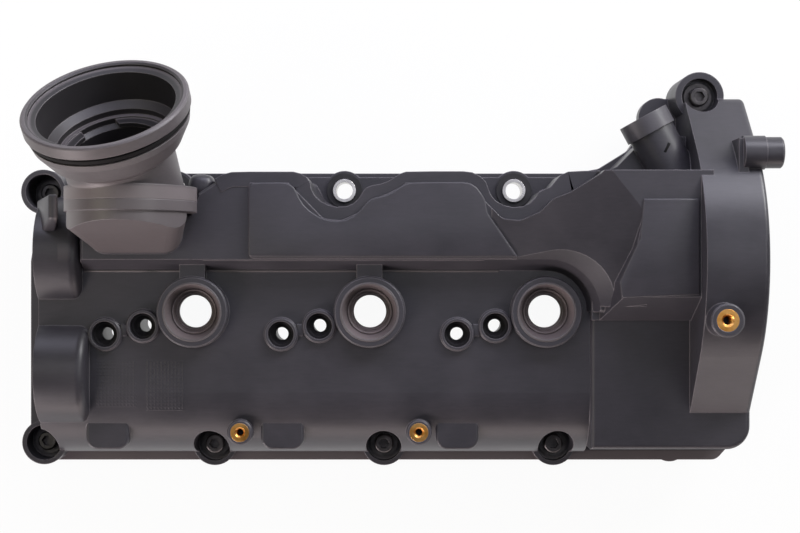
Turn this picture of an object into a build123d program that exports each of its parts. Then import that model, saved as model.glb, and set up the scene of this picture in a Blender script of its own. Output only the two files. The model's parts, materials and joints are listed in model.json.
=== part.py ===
"""Valve cover of one cylinder bank of a V6 diesel engine, with its seals, sleeves, bolts and filler neck.

Frame: millimetres, +Z up from the gasket plane, +X along the camshafts towards the timing chain,
+Y towards the middle of the V. The origin is the axis of the middle injector well at the gasket plane.
"""
from build123d import *
from math import cos, radians, sin, tan
import os

# ---------------------------------------------------------------- driving dimensions, in millimetres
cylinder_pitch = 90.0        # distance between two injector wells
wall = 3.0                   # wall of the moulding
draft_lift = 2.0             # height of the raised panels over what carries them
edge_break = 0.7             # chamfer on the rims of tubes and bosses

# gasket flange
flange_height = 8.0
flange_left = -182.5
flange_right = 197.0
flange_front = -80.5
flange_back = 73.0
chain_flange_back = 113.0    # back edge of the flange round the chain case

# deck with its round front face
deck_height = 45.0
deck_left = -169.5
deck_front = -75.4
deck_round = 34.0            # radius of the front face
block_left = 112.9           # left side of the corner block beside the third well
block_front = -70.5
block_rise = 1.4             # corner block over the deck
front_bridge_height = 31.0   # way between the two cavities under their round fronts

# upper box that holds the oil separator
upper_height = 56.0
upper_left = -146.0
upper_front = 21.0           # foot of its front face, along the deck and round the third well
upper_rim = 26.7             # rim of the front face, which leans back
upper_back = 70.6            # foot of its back face
back_rim = 65.2              # rim of its back face
back_foot_height = 20.0      # height from which the back face leans in
bay_foot_round = 4.0         # rounds of the bays round the back eyelets
bay_rim_round = 6.0
neck_recess_back = 49.7      # back wall where the neck port stands
panel_left = -60.7
panel_front = 28.2
lean_share = 1.15            # thickness of a leaning wall along Y, as a share of the wall

# ramp from the panel up to the right box
ramp_foot = (61.6, 47.0)
ramp_foot_front = (74.2, 28.2)
ramp_heading = 38.5          # degrees from +X towards +Y
ramp_run = 60.0
ramp_end = 138.0             # inside the right box
ramp_face_lean = 0.75        # fall of its front face: run for each millimetre of height

# right box beside the chain arch
right_box_height = 76.0
right_box_step = 50.0        # height at which its front slope ends

# chain arch, a prism along X
arch_left = 163.5
arch_right = 194.5
arch_axis_y = 26.1
arch_axis_z = 15.0
arch_radius = 74.0
arch_back_slope = 48.0       # degrees
arch_front_slope = 40.0      # degrees
arch_back = 110.5

# camshaft bulges, part cylinders along X
cam_axis_y = (-31.0, 30.3)
cam_radius = 29.0
cam_top = 57.5
cam_end = (-143.5, -147.0)

# injector wells
well_radius = 18.15
well_top = 52.0
well_mouth_radius = 14.6
well_funnel_radius = 11.6
well_seat_depth = 9.0        # from the well's rim down to the seal's seat
well_inner_radius = 14.6
seal_bore = 16.7
seal_height = 8.0
seal_flange_radius = 13.6

# glow plug tubes, two beside each well
tube_offsets = ((-45.3, -11.5), (-25.8, -7.3))
tube_radius = 8.65
tube_top = 47.6
tube_counterbore_radius = 6.6
tube_seat_depth = 4.5
tube_seal_bore = 6.7
tube_seal_height = 9.0
tube_inner_radius = 5.3

# bolts, sleeves and their places
bolt_size = 6.0
bolt_flange_radius = 7.4
bolt_flange_height = 1.8
bolt_head_radius = 4.9
bolt_head_height = 6.4
bolt_socket = 5.0            # across the flats
bolt_socket_depth = 3.2
sleeve_bore = 6.8
sleeve_wall = 1.6
seat_height = 9.0            # height of the bolts' seats along the front
bolt_reach = 16.0            # how far the bolts stand out below the gasket plane
pocket_radius = 9.25
pocket_wall = 2.4
front_bolt_y = -71.0
front_bolt_first = -83.0
corner_bolt = (-172.0, -69.5)
neck_side_bolt = (-170.5, 62.0)
ear_bolt = (172.0, 112.0)
ear_seat_height = 22.0
ear_height = 29.0
corner_lobe_height = 22.0
neck_lobe_height = 30.0
eyelet_y = 63.4
eyelet_first = -104.0
eyelet_radius = 10.6
eyelet_height = 14.0
eyelet_sleeve_bore = 9.0
eyelet_sleeve_height = 16.6
grommet_thickness = 1.6
grommet_flange_radius = 9.4
grommet_flange_height = 1.5

# threaded brass inserts
insert_radius = 4.8
insert_bore = 4.2
insert_length = 10.0
insert_top = 45.0
insert_boss_radius = 6.6
insert_places = ((-66.5, -61.9), (25.2, -61.9))
high_insert_place = (172.3, -2.7)
high_insert_top = 95.0
high_insert_radius = 5.4
high_insert_bore = 5.0
high_boss_radius = 8.2

# stiffening pads on the round front
pad_width = 22.0
pad_offset = -45.1
pad_back = -50.0
pad_front = -71.2
pad_height = 41.0
pad_corner = 6.0

# filler neck
neck_tilt = 53.0             # degrees from +Z towards +Y
neck_turn = 8.0              # degrees towards -X
mouth_place = (-123.0, 100.0, 109.0)
rim_radius = 40.0
rim_width = 6.0
groove_radius = 35.6
groove_width = 4.4
bowl_radius = 38.6
bowl_mouth_radius = 36.6
bowl_length = 26.0
throat_radius = 27.0
throat_wall = 3.0
neck_flange_x = 32.0
neck_flange_z = 38.5
neck_flange_thickness = 7.0
turret_flange_thickness = 5.2
o_ring_section = 3.4
neck_reach = 84.0            # how far the throat is carried before the seam cuts it
turret_foot = (-141.5, -94.8)
turret_crown = (-152.0, -82.0)
turret_front = 28.7
turret_crown_front = 45.5
turret_round = 9.0

# stub pipe on the arch and vent port behind the right box
stub_radius = 7.75
stub_root_radius = 8.4
stub_place = (79.3, 71.0)    # y and z of its axis
stub_end = 204.0
stub_root = 184.5
port_radius = 12.0
port_bore = 9.0
port_length = 33.0
port_place = (156.8, 70.0, 40.0)
port_turn = 28.5             # degrees from +Y towards -X
collar_radius = 13.2
collar_length = 9.0

# perimeter gasket
gasket_width = 4.0
gasket_height = 5.0
gasket_inset = 5.5           # from the flange's edge to the gasket's centre line
gasket_groove_depth = 4.2
gasket_play = 0.1            # between the gasket and each side of its groove
bolt_keep_out = 3.9          # what the gasket's run keeps clear of at each bolt
eyelet_keep_out = 6.2        # and at each back eyelet
clear_slot_length = 40.0     # carries what it keeps clear of out over the flange's edge

# oil separator baffle under the upper box
baffle_left = -84.0
baffle_right = 58.0
baffle_front = 26.0
baffle_back = 46.0
baffle_height = 30.0
baffle_thickness = 2.0
baffle_frame = 2.4
baffle_drain = 3.0

os.makedirs("parts", exist_ok=True)


# ---------------------------------------------------------------- helpers
well_x = [-cylinder_pitch, 0.0, cylinder_pitch]
third_well = (cylinder_pitch, 0.0)
eyelet_x = [eyelet_first + cylinder_pitch * i for i in range(3)]
front_bolts = [(front_bolt_first + cylinder_pitch * i, front_bolt_y) for i in range(3)]
bolt_seats = {
    "front_1": (front_bolts[0], seat_height),
    "front_2": (front_bolts[1], seat_height),
    "front_3": (front_bolts[2], seat_height),
    "corner": (corner_bolt, seat_height),
    "neck_side": (neck_side_bolt, seat_height),
    "ear": (ear_bolt, ear_seat_height),
}
top = 200.0                  # above everything, for cuts that open upwards


standing = (Align.CENTER, Align.CENTER, Align.MIN)


def post(place, radius, z0, z1):
    """A vertical cylinder on a place (x, y) from z0 up to z1."""
    return Pos(place[0], place[1], z0) * Cylinder(radius, z1 - z0, align=standing)


def slab(x0, x1, y0, y1, z0, z1):
    """A box given by its faces."""
    return Pos(x0, y0, z0) * Box(x1 - x0, y1 - y0, z1 - z0, align=(Align.MIN, Align.MIN, Align.MIN))


def rise(face, z0, z1):
    """A flat plan face lifted to z0 and extruded up to z1."""
    return extrude(Pos(0, 0, z0) * face, amount=z1 - z0)


def rectangle(x0, x1, y0, y1):
    """A plan face given by its sides."""
    return make_face(Polyline((x0, y0), (x1, y0), (x1, y1), (x0, y1), close=True))


def disc(place, radius):
    """A round plan face."""
    return Pos(place[0], place[1]) * Circle(radius)


def polygon(points):
    """A plan face from its corners."""
    return make_face(Polyline(*points, close=True))


def along_x(profile, x0, x1):
    """A profile in the YZ plane carried from x0 to x1."""
    return extrude(Plane.YZ.offset(x0) * profile, amount=x1 - x0)


# ---------------------------------------------------------------- outer forms of the moulding
# The same forms, drawn in by the wall, make its cavity: every form takes the inset that separates the two.
def deck_form(inset):
    """Deck with its round front, under the wells and under the upper box."""
    front = deck_front + inset
    radius = deck_round - inset
    height = deck_height - inset
    back = upper_front + 2 * wall
    outline = Polyline((front, 0), (back, 0), (back, height), (front + radius, height))
    round_front = CenterArc((front + radius, height - radius), radius, 90, 90)
    face = make_face(outline + round_front + Line((front, height - radius), (front, 0)))
    return along_x(face, deck_left + inset, block_left)


def block_form(inset):
    """Flat corner block in front of the right box and the arch."""
    left = block_left + (inset if inset else 0)
    plan = rectangle(left, arch_right - inset, block_front + inset, arch_axis_y)
    solid = rise(plan, 0, deck_height + block_rise - inset)
    if inset:
        return solid
    corner = solid.edges().filter_by(Axis.Z).sort_by(lambda e: e.center().X - e.center().Y)[-1]
    solid = fillet(corner, 12)
    front = solid.edges().group_by(Axis.Z)[-1].filter_by(lambda e: e.center().Y < arch_axis_y - 20)
    return fillet(front, 2.5)


def cam_form(inset, axis_y, end):
    """Part cylinder over one camshaft's bearing."""
    radius = cam_radius - inset
    axis_z = cam_top - cam_radius
    face = Pos(axis_y, axis_z) * Circle(radius) - Pos(axis_y, axis_z - 60) * Rectangle(200, 120)
    skirt = Pos(axis_y, axis_z / 2) * Rectangle(2 * radius, axis_z)
    solid = along_x(face + skirt, deck_left + inset, end - inset)
    if inset:
        return solid
    return fillet(solid.edges().group_by(Axis.X)[-1].filter_by(GeomType.CIRCLE), 5)


def upper_plan(inset):
    """Plan of the upper box at its foot, with the recess for the neck port."""
    right = arch_left + 2 * wall
    plan = rectangle(upper_left + inset, right, upper_front + inset, upper_back - inset)
    plan += rectangle(cylinder_pitch, right, 0, upper_front + 2 * inset)
    plan -= polygon(
        [
            (upper_left - 20, neck_recess_back - inset),
            (-91.0, neck_recess_back - inset),
            (-86.3 + inset, 60.1),
            (-77.5 + inset, 65.9 - inset / 2),
            (-70.0 + inset, upper_back - inset),
            (-70.0, upper_back + 10),
            (upper_left - 20, upper_back + 10),
        ]
    )
    return plan


def front_face_cut(inset):
    """What the leaning front face leaves free: along the deck and, turned, round the third well."""
    lean = inset * lean_share
    panel_top = upper_height + draft_lift
    profile = [(upper_front + lean, deck_height / 2), (upper_front + lean, deck_height)]
    profile += [(upper_rim + lean, upper_height), (panel_front + lean, panel_top)]
    profile += [(panel_front + lean + ramp_face_lean * (right_box_height - panel_top), right_box_height)]
    profile += [(0, right_box_height), (0, deck_height / 2)]
    face = polygon(profile)
    straight = along_x(face, upper_left - 20, cylinder_pitch)
    section = Pos(third_well[0], third_well[1]) * (Plane.XZ * face)
    turned_cut = revolve(section, Axis((third_well[0], third_well[1], 0), (0, 0, 1)))
    return straight + turned_cut


def eyelet_bay(x, rim_end, inset):
    """Bay of the back face round an eyelet: narrow at the foot, wide and flared at the rim."""
    foot = [(-25.0, 7.2), (-15.0, 3.0), (-10.5, -5.6), (0.0, -11.2)]
    foot += [(10.0, -6.4), (14.0, 0.4), (20.6, 0.8), (31.9, 7.2)]
    rim = [(-27.2, 1.8), (-21.6, -3.4), (-9.0, -16.4), (0.0, -17.2)]
    rim += [(9.6, -12.8), (15.6, -6.6), (24.0, -3.4), rim_end]
    levels = ((foot, back_foot_height, bay_foot_round), (rim, upper_height + draft_lift, bay_rim_round))
    behind = 30.0
    faces = []
    for points, height, radius in levels:
        outline = [(points[0][0], behind)] + points + [(points[-1][0], behind)]
        face = polygon([(x + dx, eyelet_y + dy) for dx, dy in outline])
        if inset:
            face = offset(face, inset, kind=Kind.INTERSECTION)
        inner = face.vertices().filter_by(lambda v: v.Y < upper_back + 5)
        faces.append(Pos(0, 0, height) * fillet(inner, radius))
    bay = loft(faces, ruled=True)
    rim_face = faces[1].faces()[0]
    foot_face = faces[0].faces()[0]
    bay += extrude(rim_face, amount=right_box_height)
    return bay + extrude(foot_face, amount=eyelet_height - inset - back_foot_height)


def back_face_cut(inset):
    """What the leaning back face leaves free, with its bays round the two eyelets."""
    panel_top = upper_height + draft_lift
    low = upper_back - inset
    high = back_rim - inset
    lean = [(low, back_foot_height), (high, panel_top), (high, top), (top, top), (top, back_foot_height)]
    cut = along_x(polygon(lean), -70.0 + inset, eyelet_x[2])
    cut += eyelet_bay(eyelet_x[1], (33.5, 1.8), inset)
    cut += eyelet_bay(eyelet_x[2], (41.0, 7.2), inset)
    return cut


def ramp_form(inset):
    """Ramp from the panel up to the right box, before its faces are cut."""
    plan = polygon(
        [
            ramp_foot,
            ramp_foot_front,
            (ramp_foot_front[0], 3.0 + inset),
            (ramp_end, 3.0 + inset),
            (ramp_end, upper_back - inset),
            (ramp_foot[0], upper_back - inset),
        ]
    )
    heading = radians(ramp_heading)
    lift = right_box_height - upper_height - draft_lift
    slope = lift / ramp_run
    across = (-sin(heading), cos(heading), 0)
    up = (-slope * cos(heading), -slope * sin(heading), 1)
    surface = Plane(origin=(*ramp_foot, upper_height + draft_lift - inset), x_dir=across, z_dir=up)
    above = surface * Box(400, 400, 100, align=(Align.CENTER, Align.CENTER, Align.MIN))
    return rise(plan, deck_height / 2, right_box_height - inset) - above


def upper_form(inset):
    """Upper box with its raised panel and its ramp."""
    height = upper_height - inset
    solid = rise(upper_plan(inset), 0, height)
    if inset == 0:
        solid = chamfer(solid.edges().group_by(Axis.Z)[-1], 1.2)
        solid += rise(panel_plan(), height - 1, height + draft_lift)
    solid += ramp_form(inset)
    return solid - front_face_cut(inset) - back_face_cut(inset)


def panel_plan():
    """Plan of the raised panel up to the ramp's foot, before the faces are cut."""
    front = panel_front - 1
    back = back_rim + 1
    left = [(panel_left, back), (panel_left, front)]
    face = polygon(left + [(ramp_foot_front[0], front), ramp_foot_front, ramp_foot, (ramp_foot[0], back)])
    return fillet(face.vertices().group_by(Axis.X)[0], 3.0)


def right_box_form(inset):
    """Tall box between the ramp and the arch: a loft from its wide foot to its flat top."""
    foot = deck_height - 10
    low = [(113.0, 70.6), (127.0, 58.0), (129.0, 50.0), (125.0, 32.0), (117.0, 14.0), (117.0, -4.2)]
    high = [(119.0, 70.6), (134.5, 57.0), (135.4, 49.7), (131.5, 32.3), (125.4, 16.0), (125.4, 8.1)]
    right = arch_left + 2 * wall
    low_points = [(x + inset, y + (inset if y < 0 else -inset)) for x, y in low]
    high_points = [(x + inset, y + (inset if y < 10 else -inset)) for x, y in high]
    low_points += [(right, -4.2 + inset), (right, 70.6 - inset)]
    high_points += [(right, 8.1 + inset), (right, 70.6 - inset)]
    low_wire = Pos(0, 0, right_box_step) * polygon(low_points)
    high_wire = Pos(0, 0, right_box_height - inset) * polygon(high_points)
    solid = loft([low_wire, high_wire], ruled=True)
    solid += rise(polygon(low_points), 0, right_box_step)
    solid += rise(rectangle(block_left + inset, right, -4.2 + inset, 25), 0, right_box_step - inset)
    return solid


def arch_profile(inset):
    """Section of the chain arch: a round top between two straight slopes."""
    radius = arch_radius - inset
    back_angle = radians(arch_back_slope)
    front_angle = radians(arch_front_slope)
    back_touch = (arch_axis_y + radius * sin(back_angle), arch_axis_z + radius * cos(back_angle))
    front_touch = (arch_axis_y - radius * sin(front_angle), arch_axis_z + radius * cos(front_angle))
    back = arch_back - inset
    back_z = back_touch[1] - (back - back_touch[0]) * tan(back_angle)
    foot_z = deck_height - inset
    front_y = front_touch[0] - (front_touch[1] - foot_z) / tan(front_angle)
    crown = ThreePointArc(front_touch, (arch_axis_y, arch_axis_z + radius), back_touch)
    ends = Polyline(back_touch, (back, back_z), (back, 0), (front_y, 0), (front_y, foot_z), front_touch)
    return make_face(crown + ends)


def arch_form(inset):
    """Chain arch, with a large round along the back of its left edge."""
    solid = along_x(arch_profile(inset), arch_left + inset, arch_right - inset)
    if inset:
        return solid
    upright = solid.edges().filter_by(Axis.X).filter_by(lambda e: e.center().Y > arch_back - 1)
    solid = fillet(upright.filter_by(lambda e: e.center().Z > 1), 9)
    rim = solid.edges().group_by(Axis.X)[-1].filter_by(lambda e: e.center().Z > deck_height + 2)
    solid = fillet(rim, 2.5)
    return solid


def flange_plan():
    """Plan of the gasket flange with its lobes at the bolts."""
    left, right = flange_left, flange_right
    face = polygon(
        [
            (left, flange_front),
            (right - 12, flange_front),
            (right - 3, flange_front + 10),
            (right, flange_front + 22),
            (right, chain_flange_back - 20),
            (right - 10, chain_flange_back - 3),
            (right - 22, chain_flange_back),
            (151.0, chain_flange_back),
            (146.0, 98.0),
            (138.0, 85.4),
            (122.0, 75.5),
            (108.0, flange_back),
            (left + 12, flange_back),
            (left + 5, 60.0),
            (left, 26.0),
        ]
    )
    face = fillet(face.vertices(), 6.0)
    for place in front_bolts:
        face += disc(place, pocket_radius + pocket_wall)
    face += disc((160.0, flange_front + 8.5), 9.5)
    face += disc(ear_bolt, pocket_radius + pocket_wall)
    face += disc((154.0, 103.0), 10.5)
    for x in eyelet_x:
        face += disc((x, eyelet_y), eyelet_radius)
    return face


def wells_outer():
    """Everything round that rises out of the deck: well tubes, their webs to the upper box, plug tubes."""
    solids = Part()
    for x in well_x:
        tube = post((x, 0), well_radius, 0, well_top)
        solids += chamfer(tube.edges().group_by(Axis.Z)[-1], edge_break)
        if x < cylinder_pitch:
            solids += slab(x - 6.5, x + 6.5, 0, upper_rim, deck_height - 2, well_top - 1)
        for dx, dy in tube_offsets:
            tube = post((x + dx, dy), tube_radius, 0, tube_top)
            solids += chamfer(tube.edges().group_by(Axis.Z)[-1], edge_break)
    return solids


def wells_bores():
    """What is bored out of the well tubes and plug tubes."""
    solids = Part()
    seat_z = well_top - well_seat_depth
    for x in well_x:
        mouth = Pos(x, 0, seat_z) * Cone(
            well_funnel_radius, well_mouth_radius, well_seat_depth, align=standing
        )
        solids += mouth
        solids += post((x, 0), seal_flange_radius, seat_z - seal_height, seat_z)
        solids += post((x, 0), well_inner_radius, -1, seat_z - seal_height)
        for dx, dy in tube_offsets:
            place = (x + dx, dy)
            seat = tube_top - tube_seat_depth
            solids += post(place, tube_counterbore_radius, seat - tube_seal_height, top)
            solids += post(place, tube_inner_radius, -1, seat - tube_seal_height)
    return solids


def pads(inset):
    """Flat-topped pads over the round front, one beside each well."""
    solids = Part()
    for x in well_x:
        middle = x + pad_offset
        half = pad_width / 2 - inset
        plan = rectangle(middle - half, middle + half, pad_front + inset, pad_back)
        corners = plan.vertices().group_by(Axis.Y)[0]
        plan = fillet(corners, pad_corner - inset)
        body = rise(plan, 0, pad_height - inset)
        if inset == 0:
            front = body.edges().group_by(Axis.Z)[-1].filter_by(lambda e: e.center().Y < pad_back - 1)
            body = fillet(front, 1.5)
        solids += body
    return solids


def bolt_lobes():
    """Round lobes under the bolts, outside the walls."""
    radius = pocket_radius + pocket_wall
    solids = Part()
    for place in front_bolts:
        solids += post(place, radius, 0, seat_height + 5)
    solids += post(corner_bolt, radius, 0, corner_lobe_height)
    solids += post(neck_side_bolt, radius, 0, neck_lobe_height)
    solids += post(ear_bolt, radius + 1, 0, ear_height)
    for x in eyelet_x:
        solids += post((x, eyelet_y), eyelet_radius, 0, eyelet_height)
    return solids


def columns():
    """What stays solid inside the cavity: columns round the pockets, tubes, inserts and eyelets."""
    solids = Part()
    for place in front_bolts + [corner_bolt, neck_side_bolt, ear_bolt]:
        solids += post(place, pocket_radius + pocket_wall, -1, top)
    for x in eyelet_x:
        solids += post((x, eyelet_y), eyelet_radius, -1, top)
    for x in well_x:
        solids += post((x, 0), well_radius, -1, top)
        for dx, dy in tube_offsets:
            solids += post((x + dx, dy), tube_radius, -1, top)
    for place in insert_places:
        solids += post(place, insert_boss_radius, -1, top)
    solids += post(high_insert_place, high_boss_radius, high_insert_top - insert_length - wall, top)
    return solids


def bolt_pockets():
    """Round pockets over the bolts and the holes for their sleeves."""
    solids = Part()
    sleeve_radius = sleeve_bore / 2 + sleeve_wall
    for place, seat in bolt_seats.values():
        solids += post(place, pocket_radius, seat, top)
        solids += post(place, sleeve_radius, -1, seat + 1)
    for x in eyelet_x:
        solids += post((x, eyelet_y), eyelet_sleeve_bore / 2 + sleeve_wall + grommet_thickness, -1, top)
    return solids


def insert_bosses():
    """Bosses of the threaded brass inserts."""
    solids = Part()
    for place in insert_places:
        boss = post(place, insert_boss_radius, 0, insert_top)
        solids += chamfer(boss.edges().group_by(Axis.Z)[-1], edge_break)
    boss = post(high_insert_place, high_boss_radius, deck_height - 5, high_insert_top)
    solids += chamfer(boss.edges().group_by(Axis.Z)[-1], edge_break)
    return solids


def insert_holes():
    """Blind holes that hold the brass inserts."""
    solids = Part()
    for place in insert_places:
        solids += post(place, insert_radius, insert_top - insert_length, top)
    solids += post(high_insert_place, high_insert_radius, high_insert_top - insert_length, top)
    return solids


# ---------------------------------------------------------------- turret, neck, stub pipe and vent port
neck_axis = (
    -sin(radians(neck_tilt)) * sin(radians(neck_turn)),
    sin(radians(neck_tilt)) * cos(radians(neck_turn)),
    cos(radians(neck_tilt)),
)
seam_y = neck_recess_back + turret_flange_thickness
seam_depth = (mouth_place[1] - seam_y) / neck_axis[1]
seam_centre = (mouth_place[0] - neck_axis[0] * seam_depth, mouth_place[2] - neck_axis[2] * seam_depth)
mouth_x = (cos(radians(neck_turn)), sin(radians(neck_turn)), 0)
mouth_plane = Plane(origin=mouth_place, x_dir=mouth_x, z_dir=neck_axis)
throat_bore = throat_radius - throat_wall
throat_stretch = 1 / neck_axis[1]


def upright_ellipse(half_x, half_z, y0, y1):
    """An elliptical prism along Y round the port's centre in the seam."""
    plane = Plane(origin=(seam_centre[0], y1, seam_centre[1]), x_dir=(1, 0, 0), z_dir=(0, -1, 0))
    return extrude(plane * Ellipse(half_x, half_z), amount=y1 - y0)


def turret_form(inset):
    """Tapered turret that rises from the upper box to the neck's seam."""
    foot_z = upper_height - wall
    crown_z = seam_centre[1] + neck_flange_z
    foot = rectangle(
        turret_foot[0] + inset, turret_foot[1] - inset, turret_front + inset, neck_recess_back + 1
    )
    crown = rectangle(
        turret_crown[0] + inset, turret_crown[1] - inset, turret_crown_front + inset, neck_recess_back + 1
    )
    solid = loft([Pos(0, 0, foot_z) * foot, Pos(0, 0, crown_z) * crown], ruled=True)
    solid += rise(foot, deck_height - 10, foot_z)
    if inset == 0:
        front = solid.edges().filter_by(lambda e: e.center().Y < turret_crown_front and e.length > 50)
        front = front.filter_by(lambda e: e.center().Z > upper_height)
        sides = [e for e in front if abs(e.center().X - seam_centre[0]) > turret_round]
        solid = fillet(sides, turret_round)
    trim = upright_ellipse(neck_flange_x - 1.2 - inset, neck_flange_z - 1.2 - inset, 0, 70)
    trim += slab(-160, -70, 0, 70, 0, seam_centre[1])
    return solid & trim


def neck_profile():
    """Half section of the neck about its axis: radius and height, zero at the mouth."""
    outside = [
        (bowl_mouth_radius + 1.0, 0),
        (rim_radius - 0.8, 0),
        (rim_radius, -0.8),
        (rim_radius, -rim_width),
        (groove_radius, -rim_width),
        (groove_radius, -rim_width - groove_width),
        (bowl_radius, -rim_width - groove_width),
        (bowl_radius - 0.8, -rim_width - groove_width - 3.5),
        (throat_radius + 5.5, -bowl_length + 3.0),
        (throat_radius, -bowl_length - 1.5),
        (throat_radius, -neck_reach),
    ]
    inside = [
        (throat_bore, -neck_reach),
        (throat_bore, -bowl_length - 3.0),
        (throat_bore + 2.2, -bowl_length - 1.0),
        (throat_bore + 2.2, -bowl_length + 2.0),
        (throat_bore + 4.4, -bowl_length + 2.0),
        (throat_bore + 4.4, -bowl_length + 5.0),
        (throat_bore + 8.0, -bowl_length + 8.0),
        (bowl_mouth_radius - 3.4, -3.2),
        (bowl_mouth_radius, -2.0),
        (bowl_mouth_radius, -0.8),
    ]
    return outside + inside


def make_filler_neck():
    """Filler neck: rim, seal groove, bowl, throat and oval base flange, with two bayonet lugs inside."""
    face = polygon([(r, z) for r, z in neck_profile()])
    body = mouth_plane * revolve(Plane.XZ * face, Axis.Z)
    flange = upright_ellipse(neck_flange_x, neck_flange_z, seam_y, seam_y + neck_flange_thickness)
    flange -= upright_ellipse(throat_radius - 1, (throat_radius - 1) * throat_stretch, seam_y - 1, 90)
    behind = slab(-220, -20, seam_y, 220, -50, 260)
    neck = (body & behind) + flange
    bore = mouth_plane * Pos(0, 0, -neck_reach) * Cylinder(
        throat_bore, neck_reach - bowl_length - 3, align=(Align.CENTER, Align.CENTER, Align.MIN)
    )
    neck -= bore
    ring = Circle(throat_bore + 2.4) - Circle(throat_bore - 2.6)
    gap = Rectangle(18, 100) + Rectangle(100, 9)
    lugs = extrude(Pos(0, 0, -bowl_length - 1.0) * (ring - Rot(0, 0, 25) * gap), amount=2.2)
    return neck + mouth_plane * lugs


def make_neck_o_ring():
    """Rubber ring in the groove behind the neck's rim, of a section with broken corners."""
    section = Pos(groove_radius + o_ring_section / 2, 0) * RegularPolygon(
        o_ring_section / 2, 8, major_radius=False, rotation=22.5
    )
    ring = revolve(Plane.XZ * section, Axis.Z)
    return mouth_plane * Pos(0, 0, -rim_width - groove_width / 2) * ring


def stub_form():
    """Closed stub pipe beside the arch, with its gusset."""
    plane = Plane(origin=(stub_root, stub_place[0], stub_place[1]), x_dir=(0, 1, 0), z_dir=(1, 0, 0))
    pipe = extrude(plane * Circle(stub_radius), amount=stub_end - stub_root)
    pipe = chamfer(pipe.edges().group_by(Axis.X)[-1], edge_break)
    pipe += extrude(plane * Circle(stub_root_radius), amount=arch_right + 0.8 - stub_root)
    y = stub_place[0]
    pipe += slab(stub_root - 2.5, stub_root + 2.5, y - 12, y + 7, stub_place[1] - 25, stub_place[1] + 4)
    z = stub_place[1]
    pipe += slab(stub_root, arch_right - 0.5, y - stub_radius, y + stub_radius, z - 16, z)
    return pipe


def port_plane(distance):
    """Plane across the vent port, at a distance along its axis from its root."""
    turn = radians(port_turn)
    direction = (-sin(turn), cos(turn), 0)
    across = port_place[0] + direction[0] * distance
    back = port_place[1] + direction[1] * distance
    origin = (across, back, port_place[2])
    return Plane(origin=origin, x_dir=(cos(turn), sin(turn), 0), z_dir=direction)


def port_form():
    """Outside of the vent port and the web under it."""
    pipe = extrude(port_plane(-8) * Circle(port_radius), amount=port_length + 8)
    web_corners = [(118.0, 70.0), (128.0, 75.0), (139.0, 86.0), (150.0, 92.0), (165.0, 90.0), (165.0, 66.0)]
    web = polygon(web_corners)
    return pipe + rise(web, 0, port_place[2] - 4)


def make_port_collar():
    """Snap collar on the vent port's end."""
    ring = Circle(collar_radius) - Circle(port_radius)
    lip = Circle(collar_radius) - Circle(port_bore)
    collar = extrude(port_plane(port_length - collar_length + 1.0) * ring, amount=collar_length - 1.0)
    collar += extrude(port_plane(port_length) * lip, amount=1.2)
    return collar


# ---------------------------------------------------------------- gasket and flange
def clear_slot(place, way, radius):
    """Plan the gasket's run keeps clear of: a disc carried out over the flange's edge in one direction."""
    slot = Circle(radius) + Pos(clear_slot_length / 2, 0) * Rectangle(clear_slot_length, 2 * radius)
    return Pos(place[0], place[1]) * Rot(0, 0, way) * slot


def drawn_in(amount):
    """The flange plan drawn in by an amount, as far again from the bolts and the eyelets."""
    outline = flange_plan().faces().sort_by(lambda f: f.area)[-1].outer_wire()
    region = Sketch() + make_face(outline.offset_2d(-amount, kind=Kind.ARC).edges())
    for place in front_bolts:
        region -= clear_slot(place, -90, bolt_keep_out + amount)
    region -= clear_slot(corner_bolt, -135, bolt_keep_out + amount)
    region -= clear_slot(neck_side_bolt, 135, bolt_keep_out + amount)
    region -= clear_slot(ear_bolt, 90, bolt_keep_out + amount)
    for x in eyelet_x:
        region -= clear_slot((x, eyelet_y), 90, eyelet_keep_out + amount)
    return region.faces().sort_by(lambda f: f.area)[-1]


def make_perimeter_gasket():
    """Rubber gasket in the flange's groove; it stands out of the groove by its squeeze."""
    outer = drawn_in(gasket_inset - gasket_width / 2 + gasket_play)
    inner = drawn_in(gasket_inset + gasket_width / 2 - gasket_play)
    low = gasket_groove_depth - gasket_height
    return rise(outer, low, gasket_groove_depth) - rise(inner, low - 1, gasket_groove_depth + 1)


def gasket_groove():
    """Groove in the underside of the flange."""
    outer = drawn_in(gasket_inset - gasket_width / 2)
    inner = drawn_in(gasket_inset + gasket_width / 2)
    return rise(outer, -1, gasket_groove_depth) - rise(inner, -2, gasket_groove_depth + 1)


def cavity():
    """Hollow of the moulding, drawn in from its outer forms by the wall."""
    solid = deck_form(wall) + block_form(wall) + upper_form(wall) + right_box_form(wall) + arch_form(wall)
    left, right = block_left - wall, block_left + 2 * wall
    middle = deck_front + deck_round
    solid += rise(rectangle(left, right, middle, upper_front + 2 * wall), 0, deck_height - wall)
    solid += rise(rectangle(left, right, deck_front + 15, middle), 0, front_bridge_height)
    for axis_y, end in zip(cam_axis_y, cam_end):
        solid += cam_form(wall, axis_y, end)
    solid += pads(wall)
    solid += turret_form(wall)
    solid -= columns()
    mouth = drawn_in(gasket_inset + gasket_width / 2 + 2.5)
    low = solid & rise(mouth, -1, flange_height)
    return solid - slab(-300, 300, -200, 200, -1, flange_height) + low


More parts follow.
